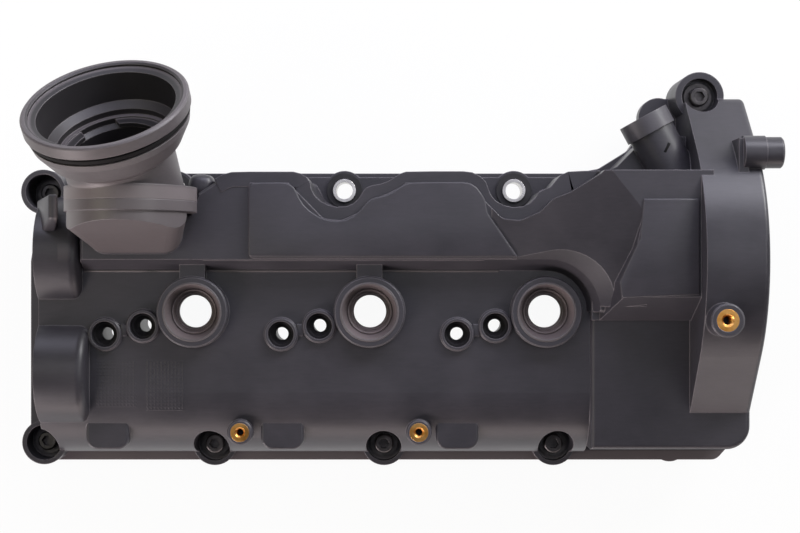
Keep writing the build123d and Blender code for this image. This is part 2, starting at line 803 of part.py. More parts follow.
def make_cover_shell():
    """The one-piece moulding."""
    solid = rise(flange_plan(), 0, flange_height)
    solid += deck_form(0) + block_form(0) + upper_form(0) + right_box_form(0) + arch_form(0)
    for axis_y, end in zip(cam_axis_y, cam_end):
        solid += cam_form(0, axis_y, end)
    solid += wells_outer() + pads(0) + insert_bosses() + bolt_lobes()
    solid += turret_form(0)
    solid += upright_ellipse(neck_flange_x, neck_flange_z, neck_recess_back, seam_y)
    solid += stub_form() + port_form()
    solid -= cavity()
    throat_z = throat_bore * throat_stretch
    solid -= upright_ellipse(throat_bore, throat_z, neck_recess_back - wall - 1, seam_y + 1)
    solid -= wells_bores()
    solid -= bolt_pockets()
    solid -= insert_holes()
    solid -= extrude(port_plane(-16) * Circle(port_bore), amount=port_length + 20)
    solid -= gasket_groove()
    return solid + baffle_frame_ribs()


# ---------------------------------------------------------------- smaller pieces
def turned(profile, place):
    """A turned piece from its half section (radius, height), stood on a place."""
    face = Plane.XZ * polygon(profile)
    return Pos(place[0], place[1], 0) * revolve(face, Axis.Z)


def tube(place, outer, bore, z0, z1):
    """A plain vertical tube."""
    return post(place, outer, z0, z1) - post(place, bore, z0 - 1, z1 + 1)


def make_injector_seal(x):
    """Rubber seal of an injector, with a lip that leans into the funnel above."""
    seat = well_top - well_seat_depth
    bore = seal_bore / 2
    profile = [
        (seal_flange_radius, seat - seal_height),
        (seal_flange_radius, seat),
        (well_funnel_radius - 0.4, seat),
        (well_funnel_radius - 0.9, seat + 0.6),
        (bore + 1.6, seat - 2.4),
        (bore, seat - 4.2),
        (bore, seat - seal_height + 1.0),
        (bore + 1.2, seat - seal_height),
    ]
    return turned(profile, (x, 0))


def make_plug_seal(place):
    """Rubber seal of a plug tube."""
    seat = tube_top - tube_seat_depth
    bore = tube_seal_bore / 2
    radius = tube_counterbore_radius
    profile = [
        (radius, seat - tube_seal_height),
        (radius, seat),
        (radius - 1.2, seat),
        (bore + 1.0, seat - 2.2),
        (bore, seat - 3.0),
        (bore, seat - tube_seal_height + 0.8),
        (bore + 0.8, seat - tube_seal_height),
    ]
    return turned(profile, place)


def make_bolt(place, seat):
    """Flange bolt with a hexagon socket, its head on the sleeve and its tip below the gasket plane."""
    tip = -bolt_reach
    radius = bolt_size / 2
    bolt = post(place, radius, tip + 1.0, seat)
    bolt += Pos(place[0], place[1], tip) * Cone(
        radius - 0.9, radius, 1.0, align=(Align.CENTER, Align.CENTER, Align.MIN)
    )
    bolt += post(place, bolt_flange_radius, seat, seat + bolt_flange_height)
    head = post(place, bolt_head_radius, seat + bolt_flange_height, seat + bolt_head_height)
    bolt += chamfer(head.edges().group_by(Axis.Z)[-1], 0.6)
    socket = RegularPolygon(bolt_socket / 2, 6, major_radius=False)
    socket_z = seat + bolt_head_height - bolt_socket_depth
    return bolt - extrude(Pos(place[0], place[1], socket_z) * socket, amount=bolt_socket_depth + 1)


def make_sleeve(place, seat):
    """Steel compression sleeve from the gasket plane up to the bolt's seat."""
    return tube(place, sleeve_bore / 2 + sleeve_wall, sleeve_bore / 2, 0, seat)


def make_eyelet_sleeve(x):
    """Open steel sleeve of a back eyelet."""
    bore = eyelet_sleeve_bore / 2
    return tube((x, eyelet_y), bore + sleeve_wall, bore, 0, eyelet_sleeve_height)


def make_grommet(x):
    """Rubber grommet round an eyelet's sleeve, with a flange on the eyelet."""
    inner = eyelet_sleeve_bore / 2 + sleeve_wall
    body = tube((x, eyelet_y), inner + grommet_thickness, inner, 0, eyelet_height)
    flange_top = eyelet_height + grommet_flange_height
    return body + tube((x, eyelet_y), grommet_flange_radius, inner, eyelet_height, flange_top)


def make_insert(place, radius, bore, height):
    """Threaded brass insert with a groove round its middle."""
    low = height - insert_length
    profile = [
        (bore / 2, low),
        (radius, low),
        (radius, low + insert_length * 0.4),
        (radius - 0.5, low + insert_length * 0.4),
        (radius - 0.5, low + insert_length * 0.6),
        (radius, low + insert_length * 0.6),
        (radius, height),
        (bore / 2 + 0.6, height),
        (bore / 2, height - 0.6),
    ]
    return turned(profile, place)


def baffle_outline(grow):
    """Plan of the baffle, drawn in where it would meet the eyelets' walls."""
    return rectangle(baffle_left - grow, baffle_right + grow, baffle_front - grow, baffle_back + grow)


def baffle_frame_ribs():
    """Ribs under the roof of the upper box, which the baffle is welded to."""
    frame = baffle_outline(0) - baffle_outline(-baffle_frame)
    return rise(frame, baffle_height, upper_height - 1)


def make_separator_baffle():
    """Plate that closes the oil separator from below, with drain holes."""
    plate = rise(baffle_outline(0), baffle_height - baffle_thickness, baffle_height)
    for i in range(4):
        x = baffle_left + 16 + i * 36
        plate -= post((x, (baffle_front + baffle_back) / 2), baffle_drain, 0, baffle_height + 1)
    return plate


# ---------------------------------------------------------------- write every piece
def write(piece, node):
    """One STEP file for each piece."""
    export_step(piece, "parts/" + node + ".step")


write(make_cover_shell(), "cover_shell")
write(make_filler_neck(), "filler_neck")
write(make_neck_o_ring(), "neck_o_ring")
write(make_port_collar(), "port_collar")
write(make_perimeter_gasket(), "perimeter_gasket")
write(make_separator_baffle(), "separator_baffle")
for number, x in enumerate(well_x, 1):
    write(make_injector_seal(x), "injector_seal_" + str(number))
    for side, (dx, dy) in zip(("a", "b"), tube_offsets):
        write(make_plug_seal((x + dx, dy)), "plug_seal_" + str(number) + side)
for name, (place, seat) in bolt_seats.items():
    write(make_bolt(place, seat), "bolt_" + name)
    write(make_sleeve(place, seat), "sleeve_" + name)
for number, x in enumerate(eyelet_x, 1):
    write(make_eyelet_sleeve(x), "eyelet_sleeve_" + str(number))
    write(make_grommet(x), "grommet_" + str(number))
for number, place in enumerate(insert_places, 1):
    write(make_insert(place, insert_radius, insert_bore, insert_top), "brass_insert_" + str(number))
high_insert = make_insert(high_insert_place, high_insert_radius, high_insert_bore, high_insert_top)
write(high_insert, "high_brass_insert")
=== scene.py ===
# %% [markdown]
# # A valve cover from an engine, in black glass-filled nylon
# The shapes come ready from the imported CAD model, which is loaded as a fixed frame. What is left for Blender is what
# a drawing doesn't hold: how each material looks, the soft edges of a moulding, the threads, and the studio.
# Everything is in metres, with +Z up from the gasket plane and +X along the camshafts.

# %% Load the frame
import json
import math

import bpy
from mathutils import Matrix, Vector

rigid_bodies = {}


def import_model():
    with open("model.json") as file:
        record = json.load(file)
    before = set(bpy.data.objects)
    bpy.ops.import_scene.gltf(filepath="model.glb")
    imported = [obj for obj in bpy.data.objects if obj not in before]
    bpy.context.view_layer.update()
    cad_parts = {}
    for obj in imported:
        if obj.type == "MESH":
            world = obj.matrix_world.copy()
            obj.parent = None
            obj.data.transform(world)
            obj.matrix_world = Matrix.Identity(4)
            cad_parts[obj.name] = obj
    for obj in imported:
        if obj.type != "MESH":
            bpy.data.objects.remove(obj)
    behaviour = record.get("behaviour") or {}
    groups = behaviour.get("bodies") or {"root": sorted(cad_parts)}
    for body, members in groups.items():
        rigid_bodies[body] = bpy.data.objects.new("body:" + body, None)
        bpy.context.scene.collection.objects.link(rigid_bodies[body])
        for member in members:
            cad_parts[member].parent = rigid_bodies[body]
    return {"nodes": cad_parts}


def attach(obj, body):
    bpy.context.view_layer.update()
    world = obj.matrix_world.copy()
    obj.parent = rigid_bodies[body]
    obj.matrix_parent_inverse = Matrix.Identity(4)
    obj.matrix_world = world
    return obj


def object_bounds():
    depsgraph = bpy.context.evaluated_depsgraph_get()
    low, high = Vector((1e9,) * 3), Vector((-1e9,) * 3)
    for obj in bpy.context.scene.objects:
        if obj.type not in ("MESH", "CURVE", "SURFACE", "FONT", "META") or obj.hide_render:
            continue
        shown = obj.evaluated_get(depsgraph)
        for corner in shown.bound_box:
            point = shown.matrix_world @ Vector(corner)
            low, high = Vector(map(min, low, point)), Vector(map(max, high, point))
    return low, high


MM = 0.001
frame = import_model()
nodes = frame["nodes"]
cad_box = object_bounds()
print("CAD nodes:", len(nodes), "box:", cad_box)

# %% [markdown]
# ## The camera
# The cover lies on a table and is seen from straight above, from 0.8 m over its gasket plane. A Blender camera that
# isn't turned looks down -Z with +Y upwards, so it only needs its place and its lens. The lens is worked out from
# how many pixels one metre spans at one metre's distance.

# %% Camera
PICTURE_WIDTH = 800          # pixels
FOCAL_PIXELS = 1476          # pixels that one metre spans at one metre's distance
SENSOR_WIDTH = 36.0          # millimetres
CAMERA_PLACE = (15.5 * MM, 23.1 * MM, 800 * MM)

camera_data = bpy.data.cameras.new("camera")
camera_data.sensor_width = SENSOR_WIDTH
camera_data.sensor_fit = "HORIZONTAL"
camera_data.lens = SENSOR_WIDTH * FOCAL_PIXELS / PICTURE_WIDTH
camera = bpy.data.objects.new("camera", camera_data)
camera.location = CAMERA_PLACE
bpy.context.scene.collection.objects.link(camera)
bpy.context.scene.camera = camera
print("lens:", round(camera_data.lens, 2), "mm, camera at", CAMERA_PLACE)

# %% [markdown]
# ## Helpers for materials
# Colours are written as on a screen, and one function turns them to the linear values that shaders work in. A second
# function adds a node with its settings and its links, so that a material reads as a short list.


# %% Helpers for nodes
def colour(code, alpha=1.0):
    """An sRGB hex colour such as "#4a494e" as linear values."""
    parts = [int(code[i:i + 2], 16) / 255 for i in (1, 3, 5)]
    linear = [p / 12.92 if p <= 0.04045 else ((p + 0.055) / 1.055) ** 2.4 for p in parts]
    return (*linear, alpha)


def add_node(tree, kind, inputs=None, **settings):
    """A new node. An input is given by its name or number, as a value or as the socket that feeds it."""
    node = tree.nodes.new(kind)
    for name, value in settings.items():
        setattr(node, name, value)
    for name, value in (inputs or {}).items():
        if isinstance(value, bpy.types.NodeSocket):
            tree.links.new(value, node.inputs[name])
        else:
            node.inputs[name].default_value = value
    return node


def new_material(name):
    """An empty material with its output node."""
    material = bpy.data.materials.new(name)
    material.use_nodes = True
    material.node_tree.nodes.clear()
    output = add_node(material.node_tree, "ShaderNodeOutputMaterial")
    return material, material.node_tree, output


# %% Helpers for tones
def spread(tree, fac, low, high, colour_low, colour_high):
    """A colour that runs from one value to another as a factor goes from low to high."""
    ramp = add_node(tree, "ShaderNodeValToRGB", {"Fac": fac})
    ramp.color_ramp.elements[0].position = low
    ramp.color_ramp.elements[0].color = colour(colour_low)
    ramp.color_ramp.elements[1].position = high
    ramp.color_ramp.elements[1].color = colour(colour_high)
    return ramp.outputs["Color"]


def blend(tree, share, first, second):
    """Two colours mixed by a share that changes over the surface."""
    mix = add_node(tree, "ShaderNodeMix", data_type="RGBA")
    for socket, value in ((mix.inputs[0], share), (mix.inputs[6], first), (mix.inputs[7], second)):
        if isinstance(value, bpy.types.NodeSocket):
            tree.links.new(value, socket)
        else:
            socket.default_value = value
    return mix.outputs[2]


def between(tree, value, from_low, from_high, to_low, to_high):
    """A number mapped from one range to another and held inside it."""
    node = add_node(tree, "ShaderNodeMapRange",
                    {"Value": value, "From Min": from_low, "From Max": from_high, "To Min": to_low, "To Max": to_high})
    return node.outputs["Result"]


# %% Helpers for masks
def rounded_normal(tree, radius):
    """The surface's normal with every edge rounded by a radius."""
    return add_node(tree, "ShaderNodeBevel", {"Radius": radius}, samples=6).outputs["Normal"]


def edge_mask(tree, rounded):
    """1 on the rounded edges and 0 on the flats, from how far the rounded normal leans off the true one."""
    normal = add_node(tree, "ShaderNodeNewGeometry").outputs["Normal"]
    lean = add_node(tree, "ShaderNodeVectorMath", {0: rounded, 1: normal}, operation="DOT_PRODUCT")
    return between(tree, lean.outputs["Value"], 0.999, 0.93, 0.0, 1.0)


def inside_box(tree, place, low, high, soft):
    """1 inside a box given by two corners in millimetres, with a soft border, and 0 outside it."""
    after = add_node(tree, "ShaderNodeVectorMath", {0: place, 1: Vector(low) * MM}, operation="SUBTRACT")
    before = add_node(tree, "ShaderNodeVectorMath", {0: Vector(high) * MM, 1: place}, operation="SUBTRACT")
    depth = add_node(tree, "ShaderNodeVectorMath", {0: after.outputs["Vector"], 1: before.outputs["Vector"]},
                     operation="MINIMUM")
    x, y, z = add_node(tree, "ShaderNodeSeparateXYZ", {"Vector": depth.outputs["Vector"]}).outputs
    least = add_node(tree, "ShaderNodeMath", {0: x, 1: y}, operation="MINIMUM")
    least = add_node(tree, "ShaderNodeMath", {0: least.outputs["Value"], 1: z}, operation="MINIMUM")
    return between(tree, least.outputs["Value"], 0.0, soft * MM, 0.0, 1.0)


def inside_wells(tree, place, centres, radius, soft=0.3):
    """1 inside upright cylinders, given by their centres along X in millimetres, and 0 outside them."""
    share = None
    for x in centres:
        away = add_node(tree, "ShaderNodeVectorMath", {0: place, 1: (x * MM, 0, 0)}, operation="SUBTRACT")
        level = add_node(tree, "ShaderNodeVectorMath", {0: away.outputs["Vector"], 1: (1, 1, 0)}, operation="MULTIPLY")
        apart = add_node(tree, "ShaderNodeVectorMath", {0: level.outputs["Vector"]}, operation="LENGTH")
        one = between(tree, apart.outputs["Value"], radius * MM, (radius + soft) * MM, 1.0, 0.0)
        share = one if share is None else add_node(tree, "ShaderNodeMath", {0: share, 1: one},
                                                   operation="MAXIMUM").outputs["Value"]
    return share


# %% [markdown]
# ## Moulded nylon
# The cover is polyamide 66 with about a third of short glass fibres, injected into a spark-eroded steel mould. To the
# eye it is a charcoal satin: an even fine grain, a hint of cloudiness where the fibres have turned with the flow,
# and edges that catch the light because every corner of the mould has a small radius. The grain of such a mould is
# near 0.1 mm, too fine to show here, so it is drawn at 0.5 mm. The Bevel node gives the small radius at render time
# without touching the mesh, and its lean marks the edges, which get a paler colour as a painted highlight.


# %% Patterns of the mould
GRID_PITCH = 1.8             # millimetres from line to line of the engraved lattice
GRID_LINE = (0.15, 0.6)      # half the width of a line, at its top and at its foot


def engraved_grid(tree, place, low, high):
    """Height of a fine square lattice, as the tool maker engraves it where a date or a mark could go."""
    lines = []
    for along in add_node(tree, "ShaderNodeSeparateXYZ", {"Vector": place}).outputs[:2]:
        away = add_node(tree, "ShaderNodeMath", {0: along, 1: GRID_PITCH / 2 * MM}, operation="PINGPONG")
        lines.append(between(tree, away.outputs["Value"], GRID_LINE[0] * MM, GRID_LINE[1] * MM, 1.0, 0.0))
    both = add_node(tree, "ShaderNodeMath", {0: lines[0], 1: lines[1]}, operation="MAXIMUM")
    patch = inside_box(tree, place, low, high, 0.5)
    return add_node(tree, "ShaderNodeMath", {0: both.outputs["Value"], 1: patch}, operation="MULTIPLY").outputs["Value"]


def faces_axis(tree, place, point, direction, core):
    """1 where a surface looks at an axis or lies within a core radius of its mouth, and 0 on the pipe's outside."""
    away = add_node(tree, "ShaderNodeVectorMath", {0: place, 1: point}, operation="SUBTRACT").outputs["Vector"]
    along = add_node(tree, "ShaderNodeVectorMath", {0: away, 1: direction}, operation="DOT_PRODUCT").outputs["Value"]
    reach = add_node(tree, "ShaderNodeVectorMath", {0: direction, "Scale": along}, operation="SCALE").outputs["Vector"]
    radial = add_node(tree, "ShaderNodeVectorMath", {0: away, 1: reach}, operation="SUBTRACT").outputs["Vector"]
    radial = add_node(tree, "ShaderNodeVectorMath", {0: radial}, operation="NORMALIZE").outputs["Vector"]
    normal = add_node(tree, "ShaderNodeNewGeometry").outputs["Normal"]
    lean = add_node(tree, "ShaderNodeVectorMath", {0: radial, 1: normal}, operation="DOT_PRODUCT").outputs["Value"]
    looks_in = between(tree, lean, -0.7, -0.35, 1.0, 0.0)
    apart = add_node(tree, "ShaderNodeVectorMath", {0: away}, operation="LENGTH").outputs["Value"]
    near = between(tree, apart, core * MM, (core + 1.0) * MM, 1.0, 0.0)
    return add_node(tree, "ShaderNodeMath", {0: looks_in, 1: near}, operation="MAXIMUM").outputs["Value"]


# %% Painted light and shade on the nylon
def toned(tree, place, skin, patches, wells, bore):
    """A skin colour with its patches of painted light, then its wells of painted light and its bore of painted shade.
    """
    for low, high, soft, shade, amount in patches:
        share = add_node(tree, "ShaderNodeMath", {0: inside_box(tree, place, low, high, soft), 1: amount},
                         operation="MULTIPLY")
        skin = blend(tree, share.outputs["Value"], skin, colour(shade))
    if wells:
        centres, radius, shade = wells
        skin = blend(tree, inside_wells(tree, place, centres, radius), skin, colour(shade))
    if bore:
        point, direction, core, shade = bore
        skin = blend(tree, faces_axis(tree, place, point, direction, core), skin, colour(shade))
    return skin


# %% Moulded nylon
NYLON_IOR = 1.53
EDGE_HIGHLIGHT_SHARE = 0.65            # how much of the painted edge highlight colour the edges take


def moulded_nylon(name, dark, light, edge_highlight, roughness, edge_radius=0.7, grain=0.5, depth=0.012,
                  patches=(), grids=(), bore=None, wells=None):
    """Satin nylon. Patches and wells are painted light, a bore is painted shade, edges get a painted highlight; grids
    are engraved.
    """
    material, tree, output = new_material(name)
    place = add_node(tree, "ShaderNodeTexCoord").outputs["Object"]
    cloud = add_node(tree, "ShaderNodeTexNoise", {"Vector": place, "Scale": 38.0, "Detail": 4.0, "Roughness": 0.6})
    fibres = add_node(tree, "ShaderNodeMapping", {"Vector": place, "Scale": (180.0, 900.0, 500.0)})
    streaks = add_node(tree, "ShaderNodeTexNoise",
                       {"Vector": fibres.outputs["Vector"], "Scale": 1.0, "Detail": 3.0, "Roughness": 0.55})
    speckle = add_node(tree, "ShaderNodeTexNoise", {"Vector": place, "Scale": 1 / (grain * MM), "Detail": 3.0})
    tone = add_node(tree, "ShaderNodeMath", {0: cloud.outputs["Fac"], 1: 0.6}, operation="MULTIPLY")
    tone = add_node(tree, "ShaderNodeMath", {0: streaks.outputs["Fac"], 1: 0.4, 2: tone.outputs["Value"]},
                    operation="MULTIPLY_ADD")
    skin = toned(tree, place, spread(tree, tone.outputs["Value"], 0.35, 0.65, dark, light), patches, wells, bore)
    normal = rounded_normal(tree, edge_radius * MM)
    # The edges are painted paler: a painted highlight where the rounded edges would catch the light.
    edge_lit = add_node(tree, "ShaderNodeMath", {0: edge_mask(tree, normal), 1: EDGE_HIGHLIGHT_SHARE}, operation="MULTIPLY")
    skin = blend(tree, edge_lit.outputs["Value"], skin, colour(edge_highlight))
    for low, high in grids:
        lattice = engraved_grid(tree, place, low, high)
        normal = add_node(tree, "ShaderNodeBump", {"Height": lattice, "Strength": 0.4, "Distance": 0.2 * MM,
                                                   "Normal": normal}).outputs["Normal"]
    sheen = between(tree, cloud.outputs["Fac"], 0.3, 0.7, roughness - 0.04, roughness + 0.05)
    normal = add_node(tree, "ShaderNodeBump", {"Height": speckle.outputs["Fac"], "Strength": 0.5,
                                               "Distance": depth * MM, "Normal": normal}).outputs["Normal"]
    shader = add_node(tree, "ShaderNodeBsdfPrincipled",
                      {"Base Color": skin, "Roughness": sheen, "IOR": NYLON_IOR, "Normal": normal})
    tree.links.new(shader.outputs["BSDF"], output.inputs["Surface"])
    return material


# %% [markdown]
# The filler neck and the turret under it are painted paler and warmer than the rest, as painted light on their steep
# faces that look to the front lamps. The inside of the neck is painted darker as painted shade, and a mask finds it: it
# is where the surface looks at the neck's own axis. The funnels of the injector wells and the ledge along the front
# are painted paler as painted light. Two patches of engraved lattice lie on the deck at the left.

# %% Nylon of each moulding
# Painted shade: the inside of the neck is painted darker, found by where the surface looks at the neck's axis.
NECK_MOUTH = Vector((-123.0, 100.0, 109.0)) * MM
NECK_TILT = math.radians(53)
NECK_TURN = math.radians(8)
neck_axis = Vector((-math.sin(NECK_TILT) * math.sin(NECK_TURN), math.sin(NECK_TILT) * math.cos(NECK_TURN),
                    math.cos(NECK_TILT)))
NECK_CORE = 35.0             # how far from the mouth's centre all that can be seen is the inside
# Painted light: the turret's steep front faces are painted paler inside this box.
TURRET_LIGHT_PATCH = ((-157.0, 24.0, 57.0), (-76.0, 62.0, 125.0), 1.5)
# Painted light: the flange's front ledge is painted paler, where the front lamp would light it.
FRONT_LEDGE_LIGHT = ((-190.0, -84.0, -2.0), (192.0, -75.2, 9.5), 0.6)
WELLS = (-90.0, 0.0, 90.0)
# Painted light: the funnels of the injector wells are painted paler inside this radius.
WELL_MOUTH = 14.8
DECK_GRIDS = (((-140.0, -49.0, 42.0), (-119.0, -25.0, 47.0)), ((-114.5, -51.0, 42.0), (-95.0, -25.0, 47.0)))

cover_nylon = moulded_nylon("moulded_black_nylon", "#313035", "#3a383e", "#757075", 0.4,
                            patches=[(*TURRET_LIGHT_PATCH, "#686263", 0.8), (*FRONT_LEDGE_LIGHT, "#615a5b", 0.8)],
                            grids=DECK_GRIDS, wells=(WELLS, WELL_MOUTH, "#6b6263"))
# A paler copy of the nylon, as painted light: the neck, the well lips and the box's foot bead take it.
pale_lit_nylon = moulded_nylon("moulded_nylon_painted_light", "#504b4d", "#5a5557", "#767072", 0.46, grain=0.4,
                           patches=[(*TURRET_LIGHT_PATCH, "#7a7273", 0.7)],
                           bore=(NECK_MOUTH, neck_axis, NECK_CORE, "#252325"))
collar_nylon = moulded_nylon("collar_nylon", "#48464b", "#504e53", "#6a6667", 0.42, edge_radius=0.4)
baffle_nylon = moulded_nylon("baffle_nylon", "#2f2e31", "#3a393c", "#4a484b", 0.55, edge_radius=0.3)
print("neck axis:", neck_axis)

# %% [markdown]
# ## Rubber, steel and brass
# The seals are cured acrylic rubber: nearly black, dull, with a faint bloom. The bolts are steel with a dark
# zinc-flake coat, which is sprayed on and so has a soft, slightly grainy shine. The sleeves are rolled from bare
# steel strip, and the threaded inserts are turned from brass and knurled, then a little tarnished by the mould's heat.


# %% Rubber
RUBBER_IOR = 1.5
RUBBER_EDGE = 0.35           # millimetres


def cured_rubber(name, dark, light, roughness, specular=0.5):
    """Dull rubber with a faint bloom. A lower specular level makes it blacker where light grazes it."""
    material, tree, output = new_material(name)
    place = add_node(tree, "ShaderNodeTexCoord").outputs["Object"]
    bloom = add_node(tree, "ShaderNodeTexNoise", {"Vector": place, "Scale": 160.0, "Detail": 5.0})
    grain = add_node(tree, "ShaderNodeTexNoise", {"Vector": place, "Scale": 2500.0, "Detail": 2.0})
    rounded = rounded_normal(tree, RUBBER_EDGE * MM)
    bump = add_node(tree, "ShaderNodeBump",
                    {"Height": grain.outputs["Fac"], "Strength": 0.4, "Distance": 0.01 * MM, "Normal": rounded})
    shader = add_node(tree, "ShaderNodeBsdfPrincipled",
                      {"Base Color": spread(tree, bloom.outputs["Fac"], 0.35, 0.7, dark, light),
                       "Roughness": between(tree, bloom.outputs["Fac"], 0.3, 0.7, roughness - 0.06, roughness + 0.06),
                       "IOR": RUBBER_IOR, "Specular IOR Level": specular, "Normal": bump.outputs["Normal"]})
    tree.links.new(shader.outputs["BSDF"], output.inputs["Surface"])
    return material


plug_rubber = cured_rubber("plug_seal_rubber", "#29282a", "#39373a", 0.7, specular=0.15)
# The injector seals are painted paler than the other rubbers, as painted light for the light that falls into the wells.
lit_well_rubber = cured_rubber("injector_seal_rubber_painted_light", "#625959", "#746969", 0.42)
o_ring_rubber = cured_rubber("o_ring_rubber", "#121112", "#1a191a", 0.7, specular=0.2)
gasket_rubber = cured_rubber("gasket_rubber", "#242325", "#323133", 0.6)
grommet_rubber = cured_rubber("grommet_rubber", "#1f1e20", "#2b2a2c", 0.6)
print("rubbers:", [m.name for m in (plug_rubber, lit_well_rubber, o_ring_rubber, gasket_rubber, grommet_rubber)])


# %% Metals
METAL_EDGE = 0.25            # millimetres


def machined_metal(name, dull, bright, roughness, lines=0.3):
    """Metal turned or rolled round a vertical axis, so its tool marks are level lines, a few to the millimetre."""
    material, tree, output = new_material(name)
    place = add_node(tree, "ShaderNodeTexCoord").outputs["Object"]
    tarnish = add_node(tree, "ShaderNodeTexNoise", {"Vector": place, "Scale": 300.0, "Detail": 5.0})
    across = add_node(tree, "ShaderNodeMapping", {"Vector": place, "Scale": (60.0, 60.0, 1 / (lines * MM))})
    marks = add_node(tree, "ShaderNodeTexNoise", {"Vector": across.outputs["Vector"], "Scale": 1.0, "Detail": 2.0})
    rounded = rounded_normal(tree, METAL_EDGE * MM)
    bump = add_node(tree, "ShaderNodeBump",
                    {"Height": marks.outputs["Fac"], "Strength": 0.5, "Distance": 0.02 * MM, "Normal": rounded})
    shader = add_node(tree, "ShaderNodeBsdfPrincipled",
                      {"Base Color": spread(tree, tarnish.outputs["Fac"], 0.3, 0.7, dull, bright),
                       "Roughness": between(tree, marks.outputs["Fac"], 0.3, 0.7, roughness - 0.08, roughness + 0.08),
                       "Metallic": 1.0, "Normal": bump.outputs["Normal"]})
    tree.links.new(shader.outputs["BSDF"], output.inputs["Surface"])
    return material


bolt_steel = machined_metal("zinc_flake_steel", "#4e4c4c", "#6a6768", 0.42)
sleeve_steel = machined_metal("bare_strip_steel", "#b9b7b4", "#d3d1ce", 0.28)
insert_brass = machined_metal("turned_brass", "#d39445", "#f0bc72", 0.38)
print("metals:", [m.name for m in (bolt_steel, sleeve_steel, insert_brass)])

# %% [markdown]
# ## Each node gets its finish
# A node keeps its mesh, and only its material slots are filled. The names say what each piece is.

# %% Finishes on the CAD nodes
finish_of = {
    "cover_shell": cover_nylon,
    "filler_neck": pale_lit_nylon,
    "port_collar": collar_nylon,
    "separator_baffle": baffle_nylon,
    "perimeter_gasket": gasket_rubber,
    "neck_o_ring": o_ring_rubber,
    "injector_seal": lit_well_rubber,
    "plug_seal": plug_rubber,
    "grommet": grommet_rubber,
    "bolt": bolt_steel,
    "sleeve": sleeve_steel,
    "eyelet_sleeve": sleeve_steel,
    "brass_insert": insert_brass,
    "high_brass_insert": insert_brass,
}
for name, node in nodes.items():
    kind = max((k for k in finish_of if name.startswith(k)), key=len)
    node.data.materials.clear()
    node.data.materials.append(finish_of[kind])
print("finished:", sorted(nodes))

# %% [markdown]
# ## Threads
# The bolts are M6 and the brass inserts take M5 and M6 screws. A rolled or tapped thread is one helical ridge. So a
# small triangle beside the axis is carried round and up by the Screw modifier, one turn for each pitch, and its two
# ends are closed. On a bolt the ridge points outwards and in an insert inwards, and its foot is sunk in the metal.


# %% Helpers for pieces
def deselect():
    """Nothing selected, as before each new piece."""
    for item in bpy.context.view_layer.objects:
        item.select_set(False)


def keep(name, material, smooth=35):
    """The active piece gets its name, place, shading and material, and rides with the cover."""
    piece = bpy.context.object
    piece.name = name
    bpy.ops.object.transform_apply(location=True, rotation=True, scale=True)
    bpy.ops.object.shade_smooth_by_angle(angle=math.radians(smooth))
    piece.data.materials.clear()
    piece.data.materials.append(material)
    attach(piece, "root")
    print(name, len(piece.data.polygons), "faces")
    return piece


def set_corners(points):
    """The active mesh's corners are put at points in millimetres."""
    for corner, point in zip(bpy.context.object.data.vertices, points):
        corner.co = Vector(point) * MM


# %% Threads
THREAD_SHARE = 0.42          # half the ridge's foot, as a share of the pitch
M5_PITCH = 0.8
M6_PITCH = 1.0


def thread(name, place, foot, crest, pitch, low, high, material):
    """A helical ridge from one height to another, its foot and its crest given as radii."""
    deselect()
    bpy.ops.mesh.primitive_circle_add(vertices=3, radius=pitch / 2 * MM)
    half = THREAD_SHARE * pitch
    set_corners([(foot, 0, -half), (crest, 0, 0), (foot, 0, half)])
    bpy.ops.object.modifier_add(type="SCREW")
    screw = bpy.context.object.modifiers[-1]
    screw.screw_offset = pitch * MM
    screw.iterations = int((high - low) / pitch)
    screw.steps = screw.render_steps = 24
    bpy.ops.object.modifier_apply(modifier=screw.name)
    bpy.ops.object.mode_set(mode="EDIT")
    bpy.ops.mesh.select_all(action="SELECT")
    bpy.ops.mesh.fill_holes(sides=3)
    bpy.ops.mesh.normals_make_consistent(inside=False)
    bpy.ops.object.mode_set(mode="OBJECT")
    bpy.context.object.location = (place[0] * MM, place[1] * MM, low * MM)
    return keep(name, material, 50)


BOLTS = {"front_1": (-83.0, -71.0), "front_2": (7.0, -71.0), "front_3": (97.0, -71.0), "corner": (-172.0, -69.5),
         "neck_side": (-170.5, 62.0), "ear": (172.0, 112.0)}
for name, place in BOLTS.items():
    thread("bolt_thread_" + name, place, foot=2.8, crest=3.2, pitch=M6_PITCH, low=-14.5, high=5.0, material=bolt_steel)
for number, x in enumerate((-66.5, 25.2), start=1):
    thread(f"insert_thread_{number}", (x, -61.9), foot=2.25, crest=1.8, pitch=M5_PITCH, low=36.0, high=44.4,
           material=insert_brass)
thread("insert_thread_high", (172.3, -2.7), foot=2.65, crest=2.1, pitch=M6_PITCH, low=86.0, high=94.3,
       material=insert_brass)

# %% [markdown]
# ## Small forms of the moulding
# Each injector well ends in a rolled lip, painted paler as a painted highlight, and its rubber has two sealing
# ridges. A bead, painted paler as a painted highlight line, runs along the foot of the upper box, low webs stiffen the
# glow plug tubes, and a brace and a shelf stand by the neck.


# %% Lips and ridges of the wells
def ring(name, x, radius, section, height, flat, material):
    """A flattened ring round an injector well."""
    deselect()
    bpy.ops.mesh.primitive_torus_add(location=(x * MM, 0, height * MM), major_radius=radius * MM,
                                     minor_radius=section * MM, major_segments=72, minor_segments=12)
    bpy.context.object.scale = (1, 1, flat)
    return keep(name, material, 60)


for number, x in enumerate(WELLS, start=1):
    # The lips are painted paler, a painted highlight round each well's mouth.
    ring(f"well_lip_{number}", x, radius=14.5, section=0.7, height=51.8, flat=0.7, material=pale_lit_nylon)
    ring(f"seal_ridge_outer_{number}", x, radius=11.1, section=0.55, height=43.4, flat=0.9, material=lit_well_rubber)
    ring(f"seal_ridge_inner_{number}", x, radius=9.4, section=0.5, height=39.9, flat=0.9, material=lit_well_rubber)


# %% Bars and blocks
SUNK_FOOT = 44.0             # 1 mm below the deck's top, so that a foot is sunk in it


